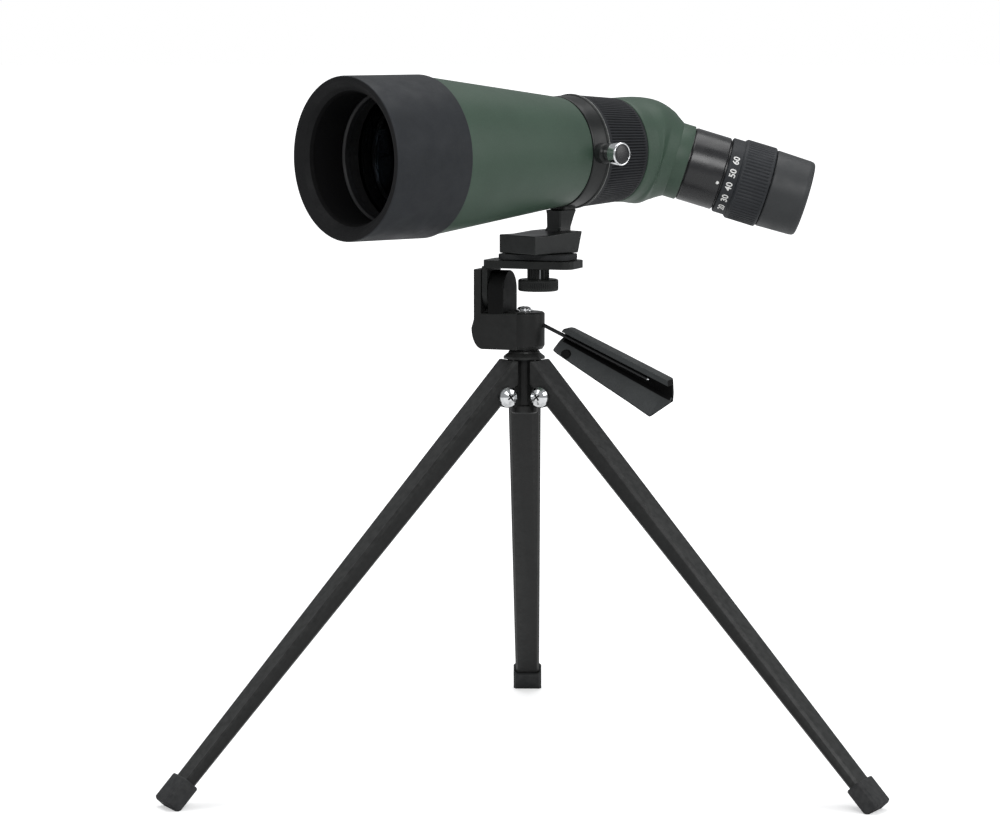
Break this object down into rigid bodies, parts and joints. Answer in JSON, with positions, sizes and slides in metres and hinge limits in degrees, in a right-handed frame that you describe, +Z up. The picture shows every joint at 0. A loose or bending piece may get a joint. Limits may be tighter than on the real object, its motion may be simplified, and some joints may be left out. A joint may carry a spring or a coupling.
{
  "type": "spotting scope",
  "caption": "Angled zoom spotting scope with a flared rubber hood, a rotating collar and ribbed rings, on a folding table-top tripod with a tilt platform and a pan handle.",
  "frame": {"origin": "centre of the bounding box, on the plane the three feet stand on", "axes": "+Z up; the two front legs spread along X towards -Y and the third leg points to +Y; the body's axis runs from its hood at -X -Y to its rear at +X +Y"},
  "size_m": [0.3322, 0.2962, 0.3301],
  "materials": {
    "green_armour": "satin moulded green, fine grain",
    "black_rubber": "matt black rubber",
    "black_plastic": "black moulded plastic",
    "black_enamel": "black enamel over steel and cast zinc",
    "chrome_plate": "bright plated steel",
    "brass": "plain brass",
    "black_aluminium": "black anodised",
    "coated_glass": "polished, thinly coated"
  },
  "bodies": {
    "hub": {"hub": "black_enamel", "pan_screw": "chrome_plate", "leg_bolt_left": "chrome_plate", "leg_bolt_right": "chrome_plate", "leg_bolt_back": "chrome_plate", "leg_nut_left": "chrome_plate", "leg_nut_right": "chrome_plate", "leg_nut_back": "chrome_plate"},
    "leg_left_body": {"leg_left": "black_enamel", "foot_left": "black_rubber"},
    "leg_right_body": {"leg_right": "black_enamel", "foot_right": "black_rubber"},
    "leg_back_body": {"leg_back": "black_enamel", "foot_back": "black_rubber"},
    "bracket": {"pan_bracket": "black_enamel", "tilt_pin": "black_aluminium", "pan_washer": "chrome_plate"},
    "handle": {"handle_rod": "chrome_plate", "handle_grip": "black_plastic"},
    "platform": {"tilt_platform": "black_plastic", "platform_pad": "black_rubber"},
    "camera_screw_body": {"camera_screw": "black_plastic"},
    "collar": {"tripod_collar": "black_plastic", "collar_thread_insert": "brass"},
    "lock_screw": {"collar_lock_screw": "chrome_plate"},
    "scope": {"objective_hood": "black_rubber", "objective_retaining_ring": "black_aluminium", "objective_spacer": "black_aluminium", "objective_crown_lens": "coated_glass", "objective_flint_lens": "coated_glass", "front_tube": "green_armour", "body_core": "black_aluminium", "prism_housing": "green_armour", "erecting_prism": "coated_glass", "prism_plate_near": "black_aluminium", "prism_plate_far": "black_aluminium", "eyepiece_barrel": "black_plastic", "field_lens": "coated_glass", "eye_lens": "coated_glass", "eye_lens_retainer": "black_aluminium"},
    "focus_ring_body": {"focus_ring": "black_rubber"},
    "focus_group": {"focus_lens_cell": "black_aluminium", "focus_lens": "coated_glass"},
    "zoom_ring_body": {"zoom_ring": "black_rubber"},
    "zoom_group": {"zoom_lens_cell": "black_aluminium", "zoom_lens": "coated_glass"},
    "eyecup_body": {"eyecup": "black_rubber"}
  },
  "joints": [
    {"name": "leg_fold_left", "type": "hinge", "parent": "hub", "child": "leg_left_body", "pos_m": [-0.01066, -0.04674, 0.179], "axis": [0.4909, -0.8712, 0], "range_deg": [0, 43]},
    {"name": "leg_fold_right", "type": "hinge", "parent": "hub", "child": "leg_right_body", "pos_m": [0.01238, -0.04698, 0.179], "axis": [0.509, 0.8607, 0], "range_deg": [0, 43]},
    {"name": "leg_fold_back", "type": "hinge", "parent": "hub", "child": "leg_back_body", "pos_m": [0.00107, -0.02692, 0.179], "axis": [-0.9999, 0.0105, 0], "range_deg": [0, 43]},
    {"name": "pan", "type": "hinge", "parent": "hub", "child": "bracket", "pos_m": [0.00093, -0.04022, 0.205], "axis": [0, 0, 1], "continuous": true},
    {"name": "handle_twist", "type": "hinge", "parent": "bracket", "child": "handle", "pos_m": [0.01005, -0.04353, 0.2119], "axis": [0.8551, -0.3112, -0.4147], "range_deg": [0, 180]},
    {"name": "tilt", "type": "hinge", "parent": "bracket", "child": "platform", "pos_m": [0.00093, -0.04022, 0.2278], "axis": [0.9397, -0.342, 0], "range_deg": [-35, 35]},
    {"name": "camera_screw_turn", "type": "hinge", "parent": "platform", "child": "camera_screw_body", "pos_m": [0.00751, -0.04261, 0.235], "axis": [0, 0, 1], "continuous": true},
    {"name": "foot_turn", "type": "hinge", "parent": "platform", "child": "collar", "pos_m": [0.00751, -0.04261, 0.246], "axis": [0, 0, 1], "continuous": true},
    {"name": "lock_screw_turn", "type": "hinge", "parent": "collar", "child": "lock_screw", "pos_m": [0.04081, -0.05562, 0.293], "axis": [0.6724, -0.7402, 0], "continuous": true},
    {"name": "scope_roll", "type": "hinge", "parent": "collar", "child": "scope", "pos_m": [0.0193, -0.03193, 0.293], "axis": [0.7402, 0.6724, 0], "continuous": true},
    {"name": "focus_turn", "type": "hinge", "parent": "scope", "child": "focus_ring_body", "pos_m": [0.03336, -0.01916, 0.293], "axis": [0.7402, 0.6724, 0], "range_deg": [-150, 150]},
    {"name": "focus_slide", "type": "slide", "parent": "scope", "child": "focus_group", "axis": [0.7402, 0.6724, 0], "range_m": [-0.004, 0.004]},
    {"name": "zoom_turn", "type": "hinge", "parent": "scope", "child": "zoom_ring_body", "pos_m": [0.10628, 0.0018, 0.27787], "axis": [0.9567, -0.0016, -0.291], "range_deg": [-41, 41]},
    {"name": "zoom_slide", "type": "slide", "parent": "scope", "child": "zoom_group", "axis": [0.9567, -0.0016, -0.291], "range_m": [-0.006, 0.006]},
    {"name": "eyecup_slide", "type": "slide", "parent": "scope", "child": "eyecup_body", "axis": [0.9567, -0.0016, -0.291], "range_m": [0, 0.006]}
  ],
  "couplings": [
    {"joint": "focus_slide", "follows": "focus_turn", "m_per_rad": 0.0015279},
    {"joint": "zoom_slide", "follows": "zoom_turn", "m_per_rad": 0.0083847}
  ]
}
